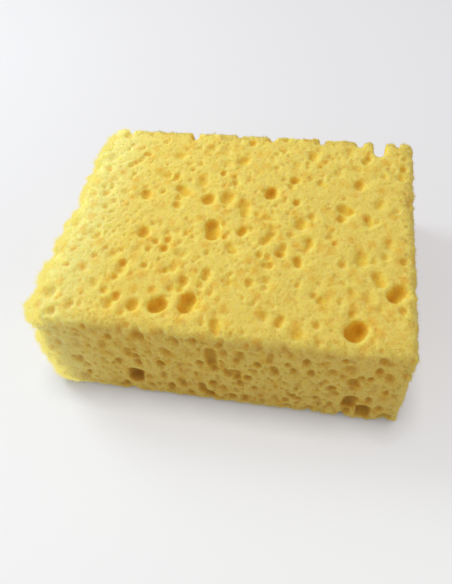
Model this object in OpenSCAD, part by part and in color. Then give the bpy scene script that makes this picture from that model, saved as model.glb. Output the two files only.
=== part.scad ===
// Rectangular cleaning sponge of open-cell foam, cut from one block.
// It lies on its large face: +X is its length, +Y its depth and +Z up.
// The origin is at the middle of the face that it rests on.

/* [Block] */
// Length of the block, along X
block_l = 140; // [110:1:180]
// Depth of the block, along Y
block_d = 112; // [90:1:150]
// Thickness of the block, along Z
block_h = 48; // [36:1:70]
// Radius of the soft edges
edge_r = 3; // [1.5:0.5:5]

/* [Pores] */
// Width of a large pore at its mouth
pore_w = 5; // [4:0.25:6]
// Depth of the deepest pores on the sides that the maps leave out, as a share of their width
pore_deep = 0.8; // [0.5:0.05:0.9]
// Distance between large pores on the sides that the maps leave out
pore_pitch = 14.5; // [13:0.5:22]
// Longest large pore on those sides, as a factor of its width
pore_stretch = 1.8; // [1:0.1:2]

/* [Torn edge] */
// Width of the widest notch in the upper back edge
notch_w = 5; // [3:0.5:6]
// How far a notch reaches in from the back, and down from the top
notch_reach = 8; // [5:0.5:10]

/* [Hidden] */
mouth_fn = 16;
edge_fn = 32;
// Cells of one long pore lie at most this share of its width apart
cell_step = 0.62;
// Share of the pitch by which a pore may leave its place in the grid
scatter = 0.3;
// A notch's cells are this much wider in radius than the notch at its mouth
notch_slack = 0.15;
// Narrowest and widest pore of the grid, as factors of pore_w
pore_least = 0.55;
pore_most = 1.2;
// Depth of the grid's shallowest pores, as a share of their width
pore_shallow = 0.3;
// Most that a pore of the grid is turned, in degrees
most_turn = 30;

// Map of the top. A row is one pore: its place in percent of the half length and half
// depth, its width and length as factors of pore_w, its depth as a share of its own
// width, and its turn in degrees.
top_map = [
  [-11, -10, 1.1, 2.2, 0.7, 12], [-7, 23, 1.2, 1.6, 0.4, 0], [-18, 21, 1, 1.3, 0.65, 0],
  [18, 31, 1, 1.4, 0.75, 0], [31, 47, 0.9, 1, 0.65, 0], [69, 46, 0.8, 1.1, 0.6, 0],
  [90, -52, 1.1, 1.7, 0.7, -35], [71, -83, 1.2, 1.7, 0.85, -30], [-14, -75, 1.1, 1.8, 0.75, -8],
  [-29, -79, 1.2, 1.5, 0.7, -50], [-42, -81, 1, 1.2, 0.5, 0], [-55, -82, 0.8, 1.1, 0.45, 0],
  [-35, 28, 0.9, 1.7, 0.5, 50], [-57, 21, 0.9, 1.2, 0.55, 20], [-70, 22, 0.8, 1, 0.3, 0],
  [-82, 20, 1, 1.3, 0.25, 0], [-36, 12, 0.7, 0.9, 0.55, 30], [5, 11, 0.8, 1.6, 0.5, 5],
  [19, 5, 0.8, 1.2, 0.35, 90], [38, 2, 1, 1.4, 0.45, 0], [62, 19, 1, 1.5, 0.5, 60],
  [60, 10, 0.7, 0.8, 0.6, 0], [75, 10, 0.8, 1.3, 0.5, 15], [86, -11, 0.7, 1.2, 0.4, 0],
  [6, -9, 0.6, 1, 0.9, -20], [21, -14, 0.8, 1.9, 0.5, -30], [44, -15, 0.6, 1.1, 0.75, 10],
  [29, -27, 0.8, 0.8, 0.7, 0], [39, -33, 0.6, 1.1, 0.8, 15], [81, -42, 0.9, 1.6, 0.5, 25],
  [-50, -18, 1, 1.2, 0.55, 0], [-31, -14, 0.8, 0.9, 0.3, 0], [-24, -4, 0.8, 0.8, 0.3, 0],
  [2, -26, 0.8, 1.4, 0.45, 30], [-50, -34, 0.8, 0.8, 0.3, 0], [-63, -40, 1.1, 1.1, 0.3, 0],
  [-23, -35, 0.8, 1, 0.25, 0], [-27, -48, 0.8, 1, 0.4, 0], [-8, -51, 0.7, 1.2, 0.6, 0],
  [-19, -58, 0.8, 1, 0.55, 0], [-25, -65, 0.6, 0.8, 0.6, 0], [-67, -67, 0.6, 0.9, 0.55, 20],
  [-60, -72, 0.6, 0.8, 0.6, 0], [-76, -55, 0.8, 0.8, 0.3, 0], [24, -51, 0.9, 0.9, 0.35, 0],
  [9, -57, 0.7, 1.1, 0.35, 20], [68, -54, 0.6, 0.6, 0.55, 0], [76, -58, 0.7, 1.1, 0.4, 0],
  [82, -65, 0.6, 0.7, 0.45, 0], [56, -62, 0.8, 1.2, 0.3, 0], [34, -82, 0.5, 1.1, 0.8, -15],
  [26, -80, 0.7, 1, 0.4, 0], [3, -91, 0.7, 1.5, 0.65, 20], [54, -94, 0.7, 0.8, 0.5, 0],
  [-49, 44, 1.2, 1.2, 0.2, 0], [-44, 68, 1.3, 1.3, 0.25, 0], [-3, 66, 1.1, 1.3, 0.35, 0],
  [-13, 61, 1, 1.2, 0.25, 0], [40, 76, 1, 1.4, 0.4, 0], [31, 64, 0.8, 1.2, 0.3, 0],
  [66, 64, 0.8, 1, 0.3, 0], [56, 57, 0.8, 1, 0.3, 0], [-24, 80, 0.7, 1.1, 0.3, 0],
  [-88, 60, 0.8, 1.2, 0.4, 0], [-92, -12, 0.8, 1.2, 0.5, 0], [-88, -78, 0.9, 1.2, 0.5, 0],
  [-15, 77, 0.9, 1.5, 0.25, 0], [-25, 39, 1.1, 1.6, 0.25, 0], [62, 83, 0.9, 1.4, 0.3, 0],
  [81, 27, 0.8, 1.5, 0.35, -15], [93, 58, 1, 1.4, 0.3, 0], [98, 30, 0.8, 1.3, 0.5, 0],
  [-80, -22, 1, 1.1, 0.25, 0], [-55, -54, 1, 1.1, 0.3, 0], [72, -26, 1.2, 1.7, 0.3, 0],
  [43, -90, 1.3, 1.4, 0.25, 0], [74, -98, 0.8, 1.1, 0.4, 0], [-98, 94, 1, 1.2, 0.5, 0],
  [-98, 47, 1, 1.8, 0.5, 0], [-98, 8, 1, 1.8, 0.5, 0], [-98, -45, 1.2, 1.8, 0.5, 0]
];

// Map of the front, in percent of the half length and half thickness
front_map = [
  [-46, -45, 1.2, 2.2, 0.7, -8], [-29, -33, 0.7, 1.2, 0.5, -10], [-37, -42, 0.6, 0.8, 0.4, 0],
  [-19, -50, 0.8, 1.5, 0.5, 10], [-8, -58, 0.7, 1.6, 0.7, 0], [-26, -63, 0.6, 1, 0.5, 0],
  [0, 41, 0.9, 2.4, 0.65, 0], [7, 58, 0.8, 1.1, 0.45, 0], [16, 56, 0.6, 1.2, 0.7, -10],
  [31, 58, 0.6, 1.6, 0.6, -8], [33, 25, 0.7, 1.3, 0.6, 15], [-37, 84, 0.8, 1.2, 0.5, -15],
  [-45, 29, 0.8, 1.4, 0.45, 0], [-59, 42, 0.8, 1.3, 0.4, -15], [-65, 54, 0.6, 0.9, 0.3, 0],
  [-24, 45, 1, 1.3, 0.3, 40], [-12, 50, 0.7, 1, 0.3, 0], [26, 84, 0.6, 1, 0.5, -10],
  [38, 90, 0.6, 0.8, 0.5, 0], [71, 58, 1, 1.2, 0.3, 0], [62, 42, 0.8, 1, 0.45, 0],
  [73, 17, 1, 1.4, 0.5, 0], [59, 12, 0.6, 0.8, 0.5, 0], [89, 46, 0.8, 1.2, 0.4, 10],
  [94, -6, 0.6, 0.9, 0.4, 0], [46, -8, 0.6, 1, 0.5, 0], [73, -46, 1, 2.1, 0.7, -8],
  [81, -71, 1, 2, 0.8, 0], [93, -83, 1, 1.3, 0.7, 0], [46, -54, 0.8, 0.8, 0.5, 0],
  [63, -60, 0.6, 1, 0.5, 0], [26, -77, 0.6, 0.8, 0.5, 0], [11, -50, 0.5, 0.6, 0.6, 0],
  [5, -50, 0.6, 1.1, 0.4, 0], [-27, -80, 0.5, 1, 0.6, -10], [-79, -70, 1, 1.3, 0.45, -20],
  [-61, -77, 0.5, 0.6, 0.5, 0], [-38, -71, 0.6, 0.8, 0.5, 0], [-85, 36, 0.9, 1.4, 0.35, 0],
  [-76, -8, 0.8, 1.2, 0.4, 0], [-51, 2, 0.5, 0.9, 0.5, 0], [-56, 18, 0.6, 1.2, 0.35, 0],
  [-69, 72, 0.7, 0.9, 0.35, 0], [-40, 50, 0.6, 0.8, 0.35, 0], [-34, 36, 0.7, 0.8, 0.4, 0],
  [-74, 40, 1.1, 1.7, 0.25, 0], [-62, -2, 0.7, 0.9, 0.3, 0], [-73, -48, 0.6, 0.7, 0.4, 0],
  [-54, -80, 0.7, 0.9, 0.6, 0], [-18, 7, 0.7, 1, 0.4, 0], [-13, -2, 0.5, 0.9, 0.4, 0],
  [-22, -28, 0.4, 0.6, 0.7, 0], [-15, -79, 0.7, 0.9, 0.5, 0], [-4, -77, 0.9, 1.2, 0.6, 0],
  [2, -18, 0.5, 1.3, 0.5, 0], [6, 18, 0.5, 0.9, 0.5, 0], [9, -75, 0.8, 1, 0.5, 0],
  [16, -76, 0.7, 1.1, 0.5, 0], [17, -18, 0.5, 1, 0.4, 0], [23, 15, 0.5, 1.5, 0.4, 0],
  [22, -37, 0.8, 0.9, 0.45, 0], [27, -48, 0.5, 0.6, 0.5, 0], [28, -26, 0.5, 0.9, 0.4, 0],
  [41, 78, 0.4, 0.7, 0.6, 0], [46, 70, 0.6, 0.8, 0.3, 0], [41, 45, 0.5, 0.8, 0.35, 0],
  [45, 26, 0.6, 0.9, 0.35, 0], [53, 1, 0.4, 0.8, 0.6, 0], [53, -31, 0.3, 0.6, 0.7, 0],
  [57, -63, 0.5, 0.9, 0.6, 0], [62, -28, 0.7, 1.1, 0.3, 0], [84, 10, 0.6, 1.5, 0.35, 0],
  [89, -53, 0.7, 1, 0.5, 0], [52, -84, 0.8, 1.1, 0.5, 0], [71, -82, 0.7, 0.8, 0.5, 0],
  [40, -85, 0.7, 0.9, 0.5, 0], [33, -60, 0.7, 1, 0.4, 0], [88, 82, 0.8, 0.9, 0.35, 0]
];

// Notches in the upper back edge: place in percent of the half length, width as a factor,
// and whether the foam is torn off at the edge or still spans the notch there
notches = [
  [80, 1, true], [44, 0.5, false], [91, 0.45, false], [68, 0.5, true], [-39, 0.6, true],
  [-84, 0.5, false], [12, 0.45, true]
];

// Prism with rounded long edges: one view of the block
module rounded_prism(wide, high, long) {
  linear_extrude(long)
    union() {
      square([wide - 2 * edge_r, high], center = true);
      square([wide, high - 2 * edge_r], center = true);
      for (side_x = [-1, 1], side_y = [-1, 1])
        translate([side_x * (wide / 2 - edge_r), side_y * (high / 2 - edge_r)])
          circle(edge_r, $fn = edge_fn);
    }
}

// Block with soft edges on all sides
module block() {
  intersection() {
    rounded_prism(block_l, block_d, block_h);
    translate([0, block_d / 2, block_h / 2])
      rotate([90, 0, 0])
        rounded_prism(block_l, block_h, block_d);
    translate([-block_l / 2, 0, block_h / 2])
      rotate([90, 0, 90])
        rounded_prism(block_d, block_h, block_l);
  }
}

// One pore that opens towards +Z at z = 0: a row of round cells, each cut off by its
// mouth. A cell deeper than half its mouth is wider below.
module pore(w, l, depth) {
  cells = 1 + ceil((l / w - 1.15) / cell_step);
  cell_r = w * (0.25 + depth ^ 2) / (2 * depth);
  for (i = [0 : cells - 1])
    translate([0, (cells > 1 ? i / (cells - 1) - 0.5 : 0) * (l - w), cell_r - depth * w])
      sphere(cell_r, $fn = mouth_fn);
}

// Pores of a map, laid on a face of the given half sizes
module mapped_pores(map, half_x, half_y) {
  for (row = map)
    translate([row[0] / 100 * half_x, row[1] / 100 * half_y, 0])
      rotate(row[5])
        pore(row[2] * pore_w, row[3] * pore_w, row[4]);
}

// Pores in a loose grid, on a face of the given sizes
module scattered_pores(size_x, size_y, seed) {
  columns = max(1, floor(size_x / pore_pitch));
  rows = max(1, floor(size_y / pore_pitch));
  luck = rands(0, 1, 6 * columns * rows, seed);
  for (c = [0 : columns - 1], r = [0 : rows - 1]) {
    n = 6 * (c * rows + r);
    w = pore_w * (pore_least + (pore_most - pore_least) * luck[n]);
    l = w * (1 + (pore_stretch - 1) * luck[n + 1]);
    x = (c + 0.5 + scatter * (2 * luck[n + 2] - 1)) * size_x / columns - size_x / 2;
    y = (r + 0.5 + scatter * (2 * luck[n + 3] - 1)) * size_y / rows - size_y / 2;
    translate([x, y, 0])
      rotate(most_turn * (2 * luck[n + 4] - 1))
        pore(w, l, pore_shallow + (pore_deep - pore_shallow) * luck[n + 5]);
  }
}

// Cells from the top down to the back face, both at the given distance from the edge
module slant_cells(w, reach) {
  steps = 1 + ceil(sqrt(2) * reach / (cell_step * w));
  for (i = [0 : steps - 1])
    translate([0, -reach * (1 - i / (steps - 1)), -reach * i / (steps - 1)])
      sphere(w / 2 + notch_slack, $fn = mouth_fn);
}

// Notch in the upper back edge. A torn one is open at the edge too.
module notch(w, torn) {
  reach = notch_reach * w / notch_w;
  slant_cells(w, reach);
  if (torn)
    slant_cells(w, reach / 2);
}

module top_pores() {
  translate([0, 0, block_h])
    mapped_pores(top_map, block_l / 2, block_d / 2);
}

module front_pores() {
  translate([0, -block_d / 2, block_h / 2])
    rotate([90, 0, 0])
      mapped_pores(front_map, block_l / 2, block_h / 2);
}

module hidden_side_pores() {
  translate([0, block_d / 2, block_h / 2])
    rotate([90, 0, 180])
      scattered_pores(block_l, block_h, 11);
  translate([block_l / 2, 0, block_h / 2])
    rotate([90, 0, 90])
      scattered_pores(block_d, block_h, 12);
  translate([-block_l / 2, 0, block_h / 2])
    rotate([90, 0, -90])
      scattered_pores(block_d, block_h, 13);
  rotate([180, 0, 0])
    scattered_pores(block_l, block_d, 14);
}

module back_edge_notches() {
  for (spot = notches)
    translate([spot[0] / 100 * block_l / 2, block_d / 2, block_h])
      notch(spot[1] * notch_w, spot[2]);
}

module sponge() {
  color([0.93, 0.80, 0.34])
    difference() {
      block();
      top_pores();
      front_pores();
      hidden_side_pores();
      back_edge_notches();
    }
}

sponge();
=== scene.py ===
"""A block of yellow cleaning foam on a pale table, in soft daylight from the left."""

import math
from collections import namedtuple

import bpy
import numpy as np
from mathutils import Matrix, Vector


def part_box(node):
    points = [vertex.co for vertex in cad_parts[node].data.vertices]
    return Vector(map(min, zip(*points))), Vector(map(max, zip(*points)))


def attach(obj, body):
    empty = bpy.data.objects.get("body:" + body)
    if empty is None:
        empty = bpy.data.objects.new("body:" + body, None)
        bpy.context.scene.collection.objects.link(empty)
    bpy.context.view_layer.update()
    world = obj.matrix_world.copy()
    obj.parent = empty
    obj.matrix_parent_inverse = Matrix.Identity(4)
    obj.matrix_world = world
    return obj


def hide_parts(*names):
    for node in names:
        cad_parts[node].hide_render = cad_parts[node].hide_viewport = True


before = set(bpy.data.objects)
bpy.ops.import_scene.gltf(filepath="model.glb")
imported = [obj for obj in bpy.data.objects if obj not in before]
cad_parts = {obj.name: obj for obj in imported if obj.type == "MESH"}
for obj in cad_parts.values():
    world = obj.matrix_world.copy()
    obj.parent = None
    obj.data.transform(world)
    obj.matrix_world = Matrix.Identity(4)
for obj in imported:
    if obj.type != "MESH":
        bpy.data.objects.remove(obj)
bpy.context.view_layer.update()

import openvdb as vdb
from mathutils import Euler, Vector

MM = 0.001
NODE = "sponge"

# Camera, at the place that the photo was taken from
LENS_MM = 33.8
SENSOR_MM = 36
CLIP_START_M = 0.01
CAMERA_AT_MM = (36.2, -152.2, 203.6)
CAMERA_TURN_DEG = (37.63, 4.24, 10.34)

# Foam grid, with its margin round the block and the band in which distances are true
VOXEL_MM = 0.5
MARGIN_VOXELS = 6
BAND_VOXELS = 10
# Value of the foam's field everywhere outside the grid
FAR_OUTSIDE = 10.0
BLUR_PASSES = 4
FOAM_SEED = 7
MOST_TRIANGLES = 196000
# Rounding of the block's edges, as in the CAD solid
RIM_RADIUS_MM = 3.0
# Cells of the foam are longer along Y and Z than along X
CELL_STRETCH = np.array((1.0, 1.25, 1.35))
# Undulation of the cut faces: size of its features and how far it moves them
WAVES_MM = ((11.0, 0.25), (4.0, 0.08))
# Wear of the edges and of the left end, on the same terms
EDGE_WEAR_MM = ((2.6, 0.6), (1.2, 0.4))
LEFT_WEAR_MM = ((5.0, 0.9), (2.2, 0.5), (1.1, 0.4))
EDGE_REACH_MM = 4.0
LEFT_REACH_MM = 9.0
# Foam lost at the left end, where broken walls stand in its place
LEFT_LOSS_MM = 0.9

# Small pockets: how many, least and most radius, least and most height of the centre
# above the surface in radii, softness of the rim
Pockets = namedtuple("Pockets", "count least_mm most_mm low_lift high_lift softness_mm")
POCKETS = (
    Pockets(1100, 0.9, 2.1, 0.45, 0.86, 0.5),
    Pockets(9000, 0.45, 0.9, 0.55, 0.88, 0.45),
)
# Above 1, this makes small pockets more frequent than large ones
SMALL_BIAS = 1.6
# The centres of the pockets of the upright sides are lower by this share
SIDE_SINK = 0.6
# Share of its pockets that the underside keeps
UNDERSIDE_SHARE = 0.3
# Room round a pocket for its blend with the surface, in times the softness
BLEND_ROOM = 2.5

# Colours of the foam from the surface into a pore, as depth in mm and display colour, with
# painted shade that deepens into the pores
TOP_COLOURS = (
    (0.3, (249, 222, 113)),
    (1.3, (246, 212, 85)),
    (4.5, (240, 194, 62)),
)
# Painted shade: the upright sides get less light than the top, so their colours are darker all
# through
SIDE_SHADE_COLOURS = (
    (0.3, (239, 212, 111)),
    (1.3, (220, 176, 76)),
    (4.5, (168, 118, 50)),
)
# Share by which the painted shade of the sides gives way to the colour of the top from table to
# top, so that the sides are darkest near the table
SIDE_SHADE_FADE = 0.4
# Painted light that makes the foam paler where the window lights the left end, and on the
# edges: its colour, its reach from the left end and how fast it fades there, and its share on
# the edges
PAINTED_LIGHT_COLOUR = (255, 246, 162)
PAINTED_LIGHT_REACH_MM = 30.0
PAINTED_LIGHT_FADE = 1.3
PAINTED_LIGHT_EDGE = 0.35

# Hollows drawn by colour, as painted shade: pitch, reach in pitches, tint and how much of the
# tint shows.
# The dimples are too shallow to cast a shadow, and the cells are the finest of the foam.
Hollows = namedtuple("Hollows", "pitch_mm reach darkness tint")
DIMPLE_SHADE = Hollows(5.5, 0.45, 0.7, (244, 218, 160))
CELL_SHADE = Hollows(1.1, 0.55, 0.55, (238, 224, 180))
# The tint is full within this share of the pitch
HOLLOW_CORE = 0.1
# Scale of the noise that makes the hollows uneven, in one per mm
WARP_SCALE = 0.5
CELL_BUMP_M = 0.0006
CELL_BUMP_STRENGTH = 0.35

FOAM_ROUGHNESS = 0.9
FOAM_SPECULAR = 0.15
SUBSURFACE_WEIGHT = 0.9
SUBSURFACE_RADIUS = (1.0, 0.85, 0.3)
SUBSURFACE_SCALE_M = 0.0045

# Broken cell walls that stand out of the cut faces as small spikes. Those at the left
# stand at that end and on the edges, the others everywhere.
Spikes = namedtuple("Spikes", "piece count length_mm radius_mm at_left")
FUZZ = (
    Spikes("sponge_fuzz", 49000, 0.5, 0.08, False),
    Spikes("sponge_tufts", 49000, 1.5, 0.08, True),
    Spikes("sponge_hairs", 20000, 2.6, 0.08, True),
)
# Reach of the edges and of the left end, for where spikes stand
FUZZ_EDGE_MM = 6
FUZZ_LEFT_MM = 12
# How dense those at the left are at that end away from its edges, how much denser
# that end is than the rest, and how dense they are on the other edges
LEFT_FACE_DENSITY = 0.15
LEFT_DENSITY = 3
EDGE_DENSITY = 0.5
# How dense the others are on an open face, where an edge and the left end add 1 each
FACE_DENSITY = 0.35
# They thin out with depth in a pore: on its rim, the depth over which 1 is lost
RIM_DENSITY = 1.2
FUZZ_DEPTH_MM = 1.5
# None stands lower than this
FUZZ_FLOOR_MM = 1.0
# Width of the clumps that they stand in, and how dense a clump is: middle, swing, least
CLUMP_MM = 1.7
CLUMP_DENSITY = (0.35, 1.6, 0.05)
# Least share of their radius and of their length, and what chance may add to it
RADIUS_SHARES = (0.7, 0.6)
LENGTH_SHARES = (0.3, 0.9)
# The same for their length, where a dense clump and the left end add to it
CLUMP_SHARES = (0.4, 0.8)
LEFT_SHARES = (0.5, 0.5)
FUZZ_LEAN = 0.6
FUZZ_ROOT_MM = 0.2
# How much more painted light makes them paler than the foam, and the share of their light
# that is a painted glow, which stands in for light from inside the foam
FUZZ_PAINTED_LIGHT = 0.25
FUZZ_GLOW = 0.42

# Table, with a glow that only the camera sees and that grows towards the viewer: painted light,
# dimmed close to the block as a painted contact shadow
TABLE_HALF_M = 3.0
TABLE_COLOUR = (242, 242, 244)
TABLE_ROUGHNESS = 0.6
TABLE_SPECULAR = 0.1
GLOW_BACK_COLOUR = (235, 234, 237)
GLOW_FRONT_COLOUR = (254, 255, 255)
GLOW_BACK_Y_M = 0.02
GLOW_FRONT_Y_M = -0.11
GLOW_SHARE = 0.62
CONTACT_REACH_M = 0.012

# A tall window to the left of the block and a little behind it
WINDOW_WIDTH_M = 0.2
WINDOW_HEIGHT_M = 0.42
WINDOW_POWER_W = 2.5
WINDOW_COLOUR = (0.9, 1.0, 1.02)
WINDOW_TARGET_M = (0, 0, 0.03)
WINDOW_AWAY_M = 0.6
WINDOW_AZIMUTH_DEG = 24
WINDOW_ELEVATION_DEG = 43

# Light of the room, and the pale backdrop that the camera sees in its place
ROOM_COLOUR = (0.88, 0.8, 0.77, 1)
ROOM_STRENGTH = 0.54
BACKDROP_COLOUR = (237, 236, 238)


def linear(value):
    """An 8-bit display value as a linear one."""
    value /= 255
    return value / 12.92 if value <= 0.04045 else ((value + 0.055) / 1.055) ** 2.4


def colour(red, green, blue):
    return (linear(red), linear(green), linear(blue), 1.0)


def link_object(name, data):
    thing = bpy.data.objects.new(name, data)
    bpy.context.scene.collection.objects.link(thing)
    return thing


def add_camera():
    data = bpy.data.cameras.new("camera")
    data.lens = LENS_MM
    data.sensor_width = SENSOR_MM
    data.clip_start = CLIP_START_M
    camera = link_object("camera", data)
    camera.location = Vector(CAMERA_AT_MM) * MM
    camera.rotation_euler = Euler([math.radians(angle) for angle in CAMERA_TURN_DEG], "XYZ")
    bpy.context.scene.camera = camera


def points_mm(mesh, kind=float):
    corners = np.zeros(len(mesh.vertices) * 3, kind)
    mesh.vertices.foreach_get("co", corners)
    return corners.reshape(-1, 3) / MM


def triangles_of(mesh):
    """Numbers of the three points of each triangle."""
    mesh.calc_loop_triangles()
    triangles = np.zeros(len(mesh.loop_triangles) * 3, np.int32)
    mesh.loop_triangles.foreach_get("vertices", triangles)
    return triangles.reshape(-1, 3)


class FoamGrid:
    """A regular grid round the block, in mm, and the fields on it."""

    def __init__(self, low, high):
        margin = MARGIN_VOXELS * VOXEL_MM
        self.low, self.high = low, high
        self.origin = low - margin
        counts = np.ceil((high - low + 2 * margin) / VOXEL_MM) + 1
        self.shape = tuple(int(count) for count in counts)
        self.axes = [start + VOXEL_MM * np.arange(count, dtype=np.float32)
                     for start, count in zip(self.origin, self.shape)]

    def spread(self, x, y, z):
        """Three values along the axes as arrays that broadcast over the grid."""
        return x[:, None, None], y[None, :, None], z[None, None, :]

    def block(self):
        """Distance from the block with rounded edges, negative inside."""
        away = [np.abs(axis - (a + b) / 2) - ((b - a) / 2 - RIM_RADIUS_MM)
                for axis, a, b in zip(self.axes, self.low, self.high)]
        x, y, z = self.spread(*(part.astype(np.float32) for part in away))
        outside = np.sqrt(np.maximum(x, 0) ** 2 + np.maximum(y, 0) ** 2 + np.maximum(z, 0) ** 2)
        inside = np.minimum(np.maximum(np.maximum(x, y), z), 0)
        return outside + inside - RIM_RADIUS_MM

    def solid(self, node):
        """Distance from the CAD solid, negative inside."""
        mesh = bpy.data.meshes.new_from_object(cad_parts[node])
        triangles = triangles_of(mesh)
        corners = (points_mm(mesh, np.float32) - self.origin) / VOXEL_MM
        bpy.data.meshes.remove(mesh)
        grid = vdb.FloatGrid.createLevelSetFromPolygons(
            corners.astype(np.float32), triangles=triangles.astype(np.uint32),
            transform=vdb.createLinearTransform(1.0), halfWidth=float(BAND_VOXELS))
        field = np.zeros(self.shape, np.float32)
        grid.copyToArray(field, ijk=(0, 0, 0))
        return field * VOXEL_MM

    def noise(self, cell_mm, rng):
        """Smooth noise between -1 and 1 with features about cell_mm wide."""
        counts = [int(count * VOXEL_MM / cell_mm) + 3 for count in self.shape]
        out = rng.uniform(-1, 1, counts).astype(np.float32)
        for axis, count in enumerate(self.shape):
            place = np.arange(count) * VOXEL_MM / cell_mm
            start = place.astype(int)
            part = place - start
            part = (part * part * (3 - 2 * part)).astype(np.float32)
            view = [1, 1, 1]
            view[axis] = count
            part = part.reshape(view)
            out = np.take(out, start, axis) * (1 - part) + np.take(out, start + 1, axis) * part
        return out

    def near_edge(self, reach):
        """1 on an edge of the block and 0 past that distance from it."""
        near = [np.clip(1 - np.minimum(axis - a, b - axis) / reach, 0, 1).astype(np.float32)
                for axis, a, b in zip(self.axes, self.low, self.high)]
        x, y, z = self.spread(*near)
        return np.maximum(np.maximum(np.minimum(x, y), np.minimum(y, z)), np.minimum(x, z))

    def near_left(self, reach):
        """1 at the left end of the block and 0 past that distance from it."""
        near = np.clip(1 - (self.axes[0] - self.low[0]) / reach, 0, 1).astype(np.float32)
        return near[:, None, None]

    def edge_gap(self, points):
        """Distance of points on the surface from the nearest edge of the block."""
        return np.sort(np.minimum(points - self.low, self.high - points), axis=1)[:, 1]

    def left_gap(self, points):
        """Distance of points from the left end of the block."""
        return points[:, 0] - self.low[0]

    def sample(self, field, points):
        """Values of a field at points in mm."""
        place = (points - self.origin) / VOXEL_MM
        start = np.clip(np.floor(place).astype(int), 0, np.array(self.shape) - 2)
        part = place - start
        total = np.zeros(len(points))
        for dx in (0, 1):
            for dy in (0, 1):
                for dz in (0, 1):
                    weight = (np.abs(1 - dx - part[:, 0]) * np.abs(1 - dy - part[:, 1])
                              * np.abs(1 - dz - part[:, 2]))
                    corner = field[start[:, 0] + dx, start[:, 1] + dy, start[:, 2] + dz]
                    total += weight * corner
        return total


def blurred(field, passes):
    """The field after a 1-2-1 blur along each axis, that many times."""
    for _ in range(passes):
        for axis in range(3):
            field = 0.5 * field + 0.25 * (np.roll(field, -1, axis) + np.roll(field, 1, axis))
    return field


def face_spots(count, low, high, rng):
    """Random spots on the faces of the block, with their outward directions."""
    size = high - low
    areas = np.array([size[1] * size[2], size[0] * size[2], size[0] * size[1]])
    axes = rng.choice(3, count, p=areas / areas.sum())
    sides = rng.integers(0, 2, count)
    spots = rng.uniform(low, high, (count, 3))
    outward = np.zeros((count, 3))
    rows = np.arange(count)
    spots[rows, axes] = np.where(sides == 1, high[axes], low[axes])
    outward[rows, axes] = np.where(sides == 1, 1.0, -1.0)
    return spots, outward


def carve(grid, field, centres, radii, softness):
    """Subtracts one stretched bubble from the field for each centre and radius in mm."""
    shape = np.array(grid.shape)
    for centre, radius in zip(centres, radii):
        reach = radius * CELL_STRETCH + BLEND_ROOM * softness + VOXEL_MM
        first = np.maximum(np.floor((centre - reach - grid.origin) / VOXEL_MM).astype(int), 0)
        last = np.ceil((centre + reach - grid.origin) / VOXEL_MM).astype(int) + 1
        last = np.minimum(last, shape)
        if np.any(last <= first):
            continue
        sides = zip(grid.axes, first, last, centre.astype(np.float32), CELL_STRETCH)
        x, y, z = grid.spread(*((axis[a:b] - middle) / stretch
                                for axis, a, b, middle, stretch in sides))
        bubble = (radius - np.sqrt(x * x + y * y + z * z)).astype(np.float32)
        part = field[first[0]:last[0], first[1]:last[1], first[2]:last[2]]
        blend = np.maximum(softness - np.abs(part - bubble), 0) / softness
        np.maximum(part, bubble, out=part)
        part += blend * blend * softness / 4


def roughness(grid, rng):
    """How far the surface lies below the smooth block, in mm: waves, wear and loss."""
    rough = np.zeros(grid.shape, np.float32)
    for size, swing in WAVES_MM:
        rough += swing * grid.noise(size, rng)
    edge = grid.near_edge(EDGE_REACH_MM)
    for size, swing in EDGE_WEAR_MM:
        rough += swing * edge * grid.noise(size, rng)
    left = grid.near_left(LEFT_REACH_MM)
    rough += LEFT_LOSS_MM * left
    for size, swing in LEFT_WEAR_MM:
        rough += swing * left * grid.noise(size, rng)
    return rough


def carve_pockets(grid, foam, pockets, rng):
    """Carves one kind of small pocket all over the block, fewer of them underneath."""
    count = pockets.count
    spots, outward = face_spots(count, grid.low, grid.high, rng)
    span = pockets.most_mm - pockets.least_mm
    radii = pockets.least_mm + span * rng.random(count) ** SMALL_BIAS
    upright = np.abs(outward[:, 2]) < 0.5
    lift = rng.uniform(pockets.low_lift, pockets.high_lift, count)
    lift = lift * (1 - SIDE_SINK * upright) * radii
    shown = (outward[:, 2] > -0.5) | (rng.random(count) < UNDERSIDE_SHARE)
    centres = spots + outward * lift[:, None]
    carve(grid, foam, centres[shown], radii[shown], pockets.softness_mm)


def foam_fields(grid):
    """Distance from the dressed foam, and from its skin as if it had no pores."""
    rng = np.random.default_rng(FOAM_SEED)
    rough = roughness(grid, rng)
    foam = blurred(grid.solid(NODE), BLUR_PASSES) + rough
    skin = grid.block() + rough
    for pockets in POCKETS:
        carve_pockets(grid, foam, pockets, rng)
    underside = -grid.axes[2][None, None, :]
    return np.maximum(foam, underside), skin


def largest_piece(points, quads):
    """The points and quads of the largest connected piece."""
    label = np.arange(len(points))
    while True:
        low = label[quads].min(axis=1)
        new = label.copy()
        for corner in range(4):
            np.minimum.at(new, quads[:, corner], low)
        new = new[new]
        if np.array_equal(new, label):
            break
        label = new
    names, counts = np.unique(label, return_counts=True)
    keep = label == names[counts.argmax()]
    index = np.cumsum(keep) - 1
    quads = quads[keep[quads[:, 0]]]
    return points[keep], index[quads]


def nearness(gap, reach):
    """1 where the gap is nil and 0 where it is the reach or more."""
    return np.clip(1 - gap / reach, 0, 1)


def painted_light_share(points, grid):
    """How much painted light makes the lit left end and the edges paler, from 0 to 1."""
    left = nearness(grid.left_gap(points), PAINTED_LIGHT_REACH_MM) ** PAINTED_LIGHT_FADE
    edge = nearness(grid.edge_gap(points), EDGE_REACH_MM)
    return np.clip(left + PAINTED_LIGHT_EDGE * edge, 0, 1)


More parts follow.
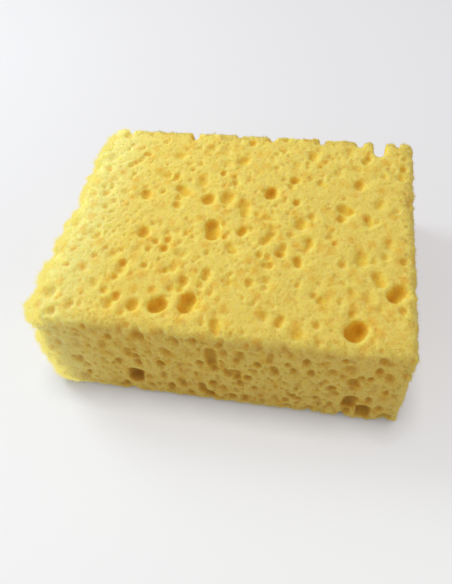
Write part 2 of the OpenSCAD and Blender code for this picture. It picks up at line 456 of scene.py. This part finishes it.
def side_shade_share(points, grid):
    """How much a point belongs to an upright side, from 0 to 1, and most near the table: the
    share of painted shade on the sides, which get less light than the top.
    """
    gaps = np.minimum(points - grid.low, grid.high - points)
    nearer = gaps[:, 2] - np.minimum(gaps[:, 0], gaps[:, 1])
    height = points[:, 2] / grid.high[2]
    return np.clip(0.5 + nearer / EDGE_REACH_MM, 0, 1) * (1 - SIDE_SHADE_FADE * height)


def store(mesh, **layers):
    """Stores one number at each point of the mesh for each named layer."""
    for name, values in layers.items():
        layer = mesh.attributes.new(name, "FLOAT", "POINT")
        layer.data.foreach_set("value", values.astype(np.float32))


def add_mesh(name, points, faces):
    """A new object from points in mm."""
    mesh = bpy.data.meshes.new(name)
    mesh.from_pydata((points * MM).tolist(), [], faces.tolist())
    mesh.update()
    return link_object(name, mesh)


def thin_out(thing, ratio):
    """Keeps that share of the triangles."""
    thin = thing.modifiers.new("thin", "DECIMATE")
    thin.ratio = ratio
    thin.use_collapse_triangulate = True
    bpy.context.view_layer.objects.active = thing
    thing.select_set(True)
    bpy.ops.object.modifier_apply(modifier="thin")


def add_foam(grid):
    """The dressed foam as one closed mesh."""
    field, skin = foam_fields(grid)
    volume = vdb.FloatGrid(FAR_OUTSIDE)
    volume.copyFromArray(field)
    points, quads = volume.convertToQuads(isovalue=0.0)
    points, quads = largest_piece(points.astype(float), quads.astype(np.int64))
    foam = add_mesh("sponge_foam", points * VOXEL_MM + grid.origin, quads)
    thin_out(foam, MOST_TRIANGLES / (2 * len(quads)))
    foam.data.shade_smooth()
    corners = points_mm(foam.data)
    # pale is painted light on the lit left end and the edges; side is painted shade on the
    # upright sides
    store(foam.data, depth=-grid.sample(skin, corners), pale=painted_light_share(corners, grid),
          side=side_shade_share(corners, grid))
    return foam


def unit(vectors):
    return vectors / np.linalg.norm(vectors, axis=1)[:, None]


def foot_weights(grid, middle, area, depth, spikes, clump):
    """How many of the spikes each triangle carries, compared with the others."""
    edge = nearness(grid.edge_gap(middle), FUZZ_EDGE_MM)
    left = nearness(grid.left_gap(middle), FUZZ_LEFT_MM)
    if spikes.at_left:
        share = LEFT_DENSITY * left * (LEFT_FACE_DENSITY + edge) + EDGE_DENSITY * edge
    else:
        share = FACE_DENSITY + edge + left
    openness = np.clip(RIM_DENSITY - depth / FUZZ_DEPTH_MM, 0, 1)
    return area * openness * share * clump * (middle[:, 2] > FUZZ_FLOOR_MM)


def feet_on(a, b, c, rng):
    """A random point on each triangle with the corners a, b and c."""
    u, v = rng.random((2, len(a), 1))
    outside = u + v > 1
    u, v = np.where(outside, 1 - u, u), np.where(outside, 1 - v, v)
    return a + u * (b - a) + v * (c - a)


def spike_shapes(foot, way, side, reach, thick):
    """Points and faces of one closed tetrahedron on each foot."""
    other = np.cross(way, side)
    root = foot - FUZZ_ROOT_MM * way
    third = 2 * math.pi / 3
    ring = [root + thick * (math.cos(k * third) * side + math.sin(k * third) * other)
            for k in range(3)]
    points = np.stack(ring + [foot + way * reach], axis=1).reshape(-1, 3)
    first = 4 * np.arange(len(foot))[:, None]
    sides = ((0, 1, 3), (1, 2, 3), (2, 0, 3), (2, 1, 0))
    return points, np.concatenate([first + np.array(corners) for corners in sides])


def grown(shares, part):
    """The least share and a part of what may be added to it."""
    least, more = shares
    return least + more * part


def add_fuzz(spikes, foam, grid, seed):
    """Small closed spikes that stand out of the skin of the foam."""
    rng = np.random.default_rng(seed)
    corners = points_mm(foam.data)
    depth = np.zeros(len(corners), np.float32)
    foam.data.attributes["depth"].data.foreach_get("value", depth)
    triangles = triangles_of(foam.data)
    a, b, c = (corners[triangles[:, k]] for k in range(3))
    cross = np.cross(b - a, c - a)
    area = np.linalg.norm(cross, axis=1)
    middle = (a + b + c) / 3
    density, swing, least = CLUMP_DENSITY
    clump = np.clip(density + swing * grid.sample(grid.noise(CLUMP_MM, rng), middle), least, 1)
    weight = foot_weights(grid, middle, area, depth[triangles[:, 0]], spikes, clump)
    pick = rng.choice(len(triangles), spikes.count, p=weight / weight.sum())

    foot = feet_on(a[pick], b[pick], c[pick], rng)
    way = cross[pick] / area[pick, None] + rng.normal(0, FUZZ_LEAN, foot.shape)
    low = foot[:, 2] < 2 * spikes.length_mm
    way[low, 2] = np.abs(way[low, 2])
    way = unit(way)
    side = unit(np.cross(way, rng.normal(0, 1, foot.shape)))
    reach = spikes.length_mm * grown(LENGTH_SHARES, rng.random((spikes.count, 1)))
    reach *= grown(CLUMP_SHARES, clump[pick, None])
    if spikes.at_left:
        left = nearness(grid.left_gap(middle), FUZZ_LEFT_MM)
        reach *= grown(LEFT_SHARES, left[pick, None])
    thick = spikes.radius_mm * grown(RADIUS_SHARES, rng.random((spikes.count, 1)))
    points, faces = spike_shapes(foot, way, side, reach, thick)
    fuzz = add_mesh(spikes.piece, points, faces)
    # Painted light: paler and glowing towards the lit left end and on the edges
    pale = np.repeat(painted_light_share(foot, grid), 4)
    store(fuzz.data, pale=np.clip(FUZZ_PAINTED_LIGHT + pale, 0, 1))
    return fuzz


def bare_tree(name):
    """A new material and its empty node tree."""
    material = bpy.data.materials.new(name)
    material.use_nodes = True
    material.node_tree.nodes.clear()
    return material, material.node_tree


def fill_in(node, values):
    """Sets inputs of a node by their names."""
    for name, value in values.items():
        node.inputs[name].default_value = value


def attribute(tree, name):
    node = tree.nodes.new("ShaderNodeAttribute")
    node.attribute_name = name
    return node.outputs["Fac"]


def mixed(tree, share, first, second, blend="MIX"):
    """Socket of two colours mixed by a share."""
    node = tree.nodes.new("ShaderNodeMix")
    node.data_type = "RGBA"
    node.blend_type = blend
    for socket, name in ((share, "Factor"), (first, "A"), (second, "B")):
        tree.links.new(socket, node.inputs[name])
    return node.outputs["Result"]


def plain(tree, shade):
    """Socket of one display colour."""
    node = tree.nodes.new("ShaderNodeRGB")
    node.outputs[0].default_value = colour(*shade)
    return node.outputs[0]


def depth_ramp(tree, depth, colours):
    """Socket of the foam's colour at a depth in mm, with painted shade that deepens into the
    pores.
    """
    deepest = colours[-1][0]
    share = tree.nodes.new("ShaderNodeMapRange")
    share.inputs["From Max"].default_value = deepest
    tree.links.new(depth, share.inputs["Value"])
    ramp = tree.nodes.new("ShaderNodeValToRGB")
    stops = ramp.color_ramp.elements
    stops.new(0.5)
    for stop, (mm, shade) in zip(stops, colours):
        stop.position = mm / deepest
        stop.color = colour(*shade)
    tree.links.new(share.outputs[0], ramp.inputs["Fac"])
    return ramp.outputs["Color"]


def with_hollow_shade(tree, base, place, hollows):
    """Sockets of a colour with painted shade tinted into its hollows, and of the distance from
    their middles.
    """
    cells = tree.nodes.new("ShaderNodeTexVoronoi")
    cells.inputs["Scale"].default_value = 1 / hollows.pitch_mm
    tree.links.new(place, cells.inputs["Vector"])
    hollow = tree.nodes.new("ShaderNodeMapRange")
    fill_in(hollow, {"From Min": hollows.reach, "From Max": HOLLOW_CORE,
                     "To Max": hollows.darkness})
    tree.links.new(cells.outputs["Distance"], hollow.inputs["Value"])
    result = mixed(tree, hollow.outputs[0], base, plain(tree, hollows.tint), "MULTIPLY")
    return result, cells.outputs["Distance"]


def cell_places(tree):
    """Socket of the place in mm, squeezed as the cells are stretched, and warped a little."""
    new, link = tree.nodes.new, tree.links.new
    place = new("ShaderNodeTexCoord")
    mapping = new("ShaderNodeMapping")
    mapping.inputs["Scale"].default_value = [1000 / stretch for stretch in CELL_STRETCH]
    link(place.outputs["Object"], mapping.inputs["Vector"])
    warp = new("ShaderNodeTexNoise")
    warp.inputs["Scale"].default_value = WARP_SCALE
    link(mapping.outputs["Vector"], warp.inputs["Vector"])
    warped = new("ShaderNodeVectorMath")
    warped.operation = "ADD"
    link(mapping.outputs["Vector"], warped.inputs[0])
    link(warp.outputs["Color"], warped.inputs[1])
    return warped.outputs[0]


def foam_material():
    """Soft yellow foam, with painted shade that deepens inside the pores and on the upright
    sides, and painted light that makes the lit left end and the edges paler.
    """
    material, tree = bare_tree("foam")
    new, link = tree.nodes.new, tree.links.new
    shader = new("ShaderNodeBsdfPrincipled")
    fill_in(shader, {
        "Roughness": FOAM_ROUGHNESS,
        "Specular IOR Level": FOAM_SPECULAR,
        "Subsurface Weight": SUBSURFACE_WEIGHT,
        "Subsurface Radius": SUBSURFACE_RADIUS,
        "Subsurface Scale": SUBSURFACE_SCALE_M,
    })
    link(shader.outputs[0], new("ShaderNodeOutputMaterial").inputs[0])

    depth = attribute(tree, "depth")
    ramps = [depth_ramp(tree, depth, colours) for colours in (TOP_COLOURS, SIDE_SHADE_COLOURS)]
    # Painted shade: darker colours on the upright sides, most near the table
    base = mixed(tree, attribute(tree, "side"), *ramps)
    # Painted light: paler towards the lit left end and on the edges
    base = mixed(tree, attribute(tree, "pale"), base, plain(tree, PAINTED_LIGHT_COLOUR))
    place = cell_places(tree)
    base, _ = with_hollow_shade(tree, base, place, DIMPLE_SHADE)
    base, cells = with_hollow_shade(tree, base, place, CELL_SHADE)
    link(base, shader.inputs["Base Color"])

    bump = new("ShaderNodeBump")
    fill_in(bump, {"Distance": CELL_BUMP_M, "Strength": CELL_BUMP_STRENGTH})
    link(cells, bump.inputs["Height"])
    link(bump.outputs["Normal"], shader.inputs["Normal"])
    return material


def fuzz_material():
    """Thin broken walls that light shines through, with painted light: paler and with a painted
    glow, most at the lit left end and on the edges.
    """
    material, tree = bare_tree("fuzz")
    new, link = tree.nodes.new, tree.links.new
    pale = attribute(tree, "pale")
    shade = mixed(tree, pale, plain(tree, TOP_COLOURS[0][1]), plain(tree, PAINTED_LIGHT_COLOUR))
    both = new("ShaderNodeMixShader")
    for kind, socket in (("ShaderNodeBsdfDiffuse", 1), ("ShaderNodeBsdfTranslucent", 2)):
        lobe = new(kind)
        link(shade, lobe.inputs["Color"])
        link(lobe.outputs[0], both.inputs[socket])
    glow = new("ShaderNodeEmission")
    link(shade, glow.inputs["Color"])
    link(pale, glow.inputs["Strength"])
    lit = new("ShaderNodeMixShader")
    lit.inputs[0].default_value = FUZZ_GLOW
    link(both.outputs[0], lit.inputs[1])
    link(glow.outputs[0], lit.inputs[2])
    link(lit.outputs[0], new("ShaderNodeOutputMaterial").inputs[0])
    return material


def table_glow(tree):
    """Socket of a painted glow that grows towards the viewer and dims close to the block as a
    painted contact shadow.
    """
    new, link = tree.nodes.new, tree.links.new
    place = new("ShaderNodeTexCoord")
    split = new("ShaderNodeSeparateXYZ")
    link(place.outputs["Object"], split.inputs[0])
    forward = new("ShaderNodeMapRange")
    forward.interpolation_type = "SMOOTHSTEP"
    fill_in(forward, {"From Min": GLOW_BACK_Y_M, "From Max": GLOW_FRONT_Y_M})
    link(split.outputs["Y"], forward.inputs["Value"])
    ramp = new("ShaderNodeValToRGB")
    for stop, shade in zip(ramp.color_ramp.elements, (GLOW_BACK_COLOUR, GLOW_FRONT_COLOUR)):
        stop.color = colour(*shade)
    link(forward.outputs[0], ramp.inputs["Fac"])
    contact = new("ShaderNodeAmbientOcclusion")
    contact.inputs["Distance"].default_value = CONTACT_REACH_M
    link(ramp.outputs["Color"], contact.inputs["Color"])
    glow = new("ShaderNodeEmission")
    link(contact.outputs["Color"], glow.inputs["Color"])
    return glow.outputs[0]


def table_material():
    material = bpy.data.materials.new("table")
    material.use_nodes = True
    tree = material.node_tree
    new, link = tree.nodes.new, tree.links.new
    shader = tree.nodes["Principled BSDF"]
    fill_in(shader, {
        "Base Color": colour(*TABLE_COLOUR),
        "Roughness": TABLE_ROUGHNESS,
        "Specular IOR Level": TABLE_SPECULAR,
    })
    rays = new("ShaderNodeLightPath")
    share = new("ShaderNodeMath")
    share.operation = "MULTIPLY"
    share.inputs[1].default_value = GLOW_SHARE
    link(rays.outputs["Is Camera Ray"], share.inputs[0])
    mix = new("ShaderNodeMixShader")
    link(share.outputs[0], mix.inputs[0])
    link(shader.outputs[0], mix.inputs[1])
    link(table_glow(tree), mix.inputs[2])
    link(mix.outputs[0], tree.nodes["Material Output"].inputs[0])
    return material


def add_stage():
    data = bpy.data.meshes.new("table")
    corners = [(x * TABLE_HALF_M, y * TABLE_HALF_M, 0)
               for x, y in ((-1, -1), (1, -1), (1, 1), (-1, 1))]
    data.from_pydata(corners, [], [(0, 1, 2, 3)])
    data.materials.append(table_material())
    link_object("table", data)


def add_window():
    """A tall window to the left of the block and a little behind it."""
    data = bpy.data.lights.new("window", "AREA")
    data.shape = "RECTANGLE"
    data.size = WINDOW_WIDTH_M
    data.size_y = WINDOW_HEIGHT_M
    data.energy = WINDOW_POWER_W
    data.color = WINDOW_COLOUR
    azimuth, elevation = math.radians(WINDOW_AZIMUTH_DEG), math.radians(WINDOW_ELEVATION_DEG)
    level = WINDOW_AWAY_M * math.cos(elevation)
    height = WINDOW_AWAY_M * math.sin(elevation)
    offset = Vector((-level * math.cos(azimuth), level * math.sin(azimuth), height))
    lamp = link_object("window", data)
    lamp.location = Vector(WINDOW_TARGET_M) + offset
    lamp.rotation_euler = (-offset).to_track_quat("-Z", "Y").to_euler()
    lamp.visible_camera = False


def add_daylight():
    """Soft light from all round, with a pale backdrop in its place for the camera."""
    world = bpy.data.worlds.new("daylight")
    bpy.context.scene.world = world
    world.use_nodes = True
    tree = world.node_tree
    new, link = tree.nodes.new, tree.links.new
    light = tree.nodes["Background"]
    fill_in(light, {"Color": ROOM_COLOUR, "Strength": ROOM_STRENGTH})
    backdrop = new("ShaderNodeBackground")
    backdrop.inputs["Color"].default_value = colour(*BACKDROP_COLOUR)
    rays = new("ShaderNodeLightPath")
    mix = new("ShaderNodeMixShader")
    link(rays.outputs["Is Camera Ray"], mix.inputs[0])
    link(light.outputs[0], mix.inputs[1])
    link(backdrop.outputs[0], mix.inputs[2])
    link(mix.outputs[0], tree.nodes["World Output"].inputs[0])


def main():
    add_camera()
    add_stage()
    add_window()
    add_daylight()
    low, high = (np.array(corner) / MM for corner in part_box(NODE))
    grid = FoamGrid(low, high)
    foam = add_foam(grid)
    foam.data.materials.append(foam_material())
    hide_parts(NODE)
    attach(foam, "root")
    walls = fuzz_material()
    for seed, spikes in enumerate(FUZZ):
        fuzz = add_fuzz(spikes, foam, grid, seed)
        fuzz.data.materials.append(walls)
        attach(fuzz, "root")


main()
bpy.context.scene.view_settings.view_transform = "Standard"
